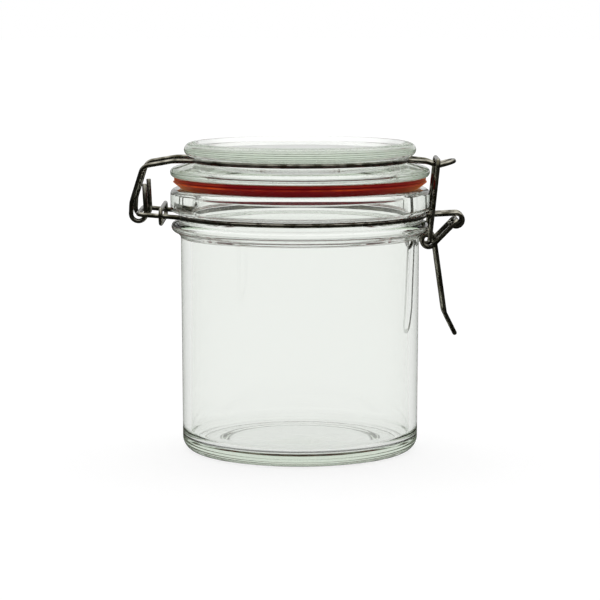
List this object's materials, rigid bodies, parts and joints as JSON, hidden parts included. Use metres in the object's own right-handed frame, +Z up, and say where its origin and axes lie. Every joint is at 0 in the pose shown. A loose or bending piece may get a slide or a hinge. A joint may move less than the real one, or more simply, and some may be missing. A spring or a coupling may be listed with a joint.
{
  "type": "clip top jar",
  "caption": "Clear round glass storage jar with a hinged glass lid, a red rubber sealing ring and a steel wire clip that levers the lid shut.",
  "frame": {"origin": "on the jar's axis at the surface that its foot ring stands on", "axes": "+Z up the jar's axis, +X towards the latch, the hinge is at -X, and every pivot runs along Y"},
  "size_m": [0.1184, 0.092, 0.1094],
  "materials": {
    "glass": "clear pressed glass with a faint grey-green tint",
    "rubber": "semi-translucent red-orange rubber, satin",
    "wire": "drawn steel wire with fine lengthwise lines"
  },
  "bodies": {
    "jar": {"jar": "glass", "neck_wire": "wire", "keeper": "wire"},
    "lid": {"lid": "glass", "gasket": "rubber", "lid_wire": "wire"},
    "link": {"latch_link": "wire"},
    "lever": {"latch_lever": "wire"}
  },
  "joints": [
    {"name": "lid_hinge", "type": "hinge", "parent": "jar", "child": "lid", "pos_m": [-0.0566, 0, 0.085], "axis": [0, -1, 0], "range_deg": [0, 180]},
    {"name": "link_swing", "type": "hinge", "parent": "lid", "child": "link", "pos_m": [0.0485, 0, 0.10345], "axis": [0, -1, 0], "range_deg": [0, 120]},
    {"name": "lever_swing", "type": "hinge", "parent": "jar", "child": "lever", "pos_m": [0.0553, 0, 0.082], "axis": [0, -1, 0], "range_deg": [0, 150]}
  ]
}
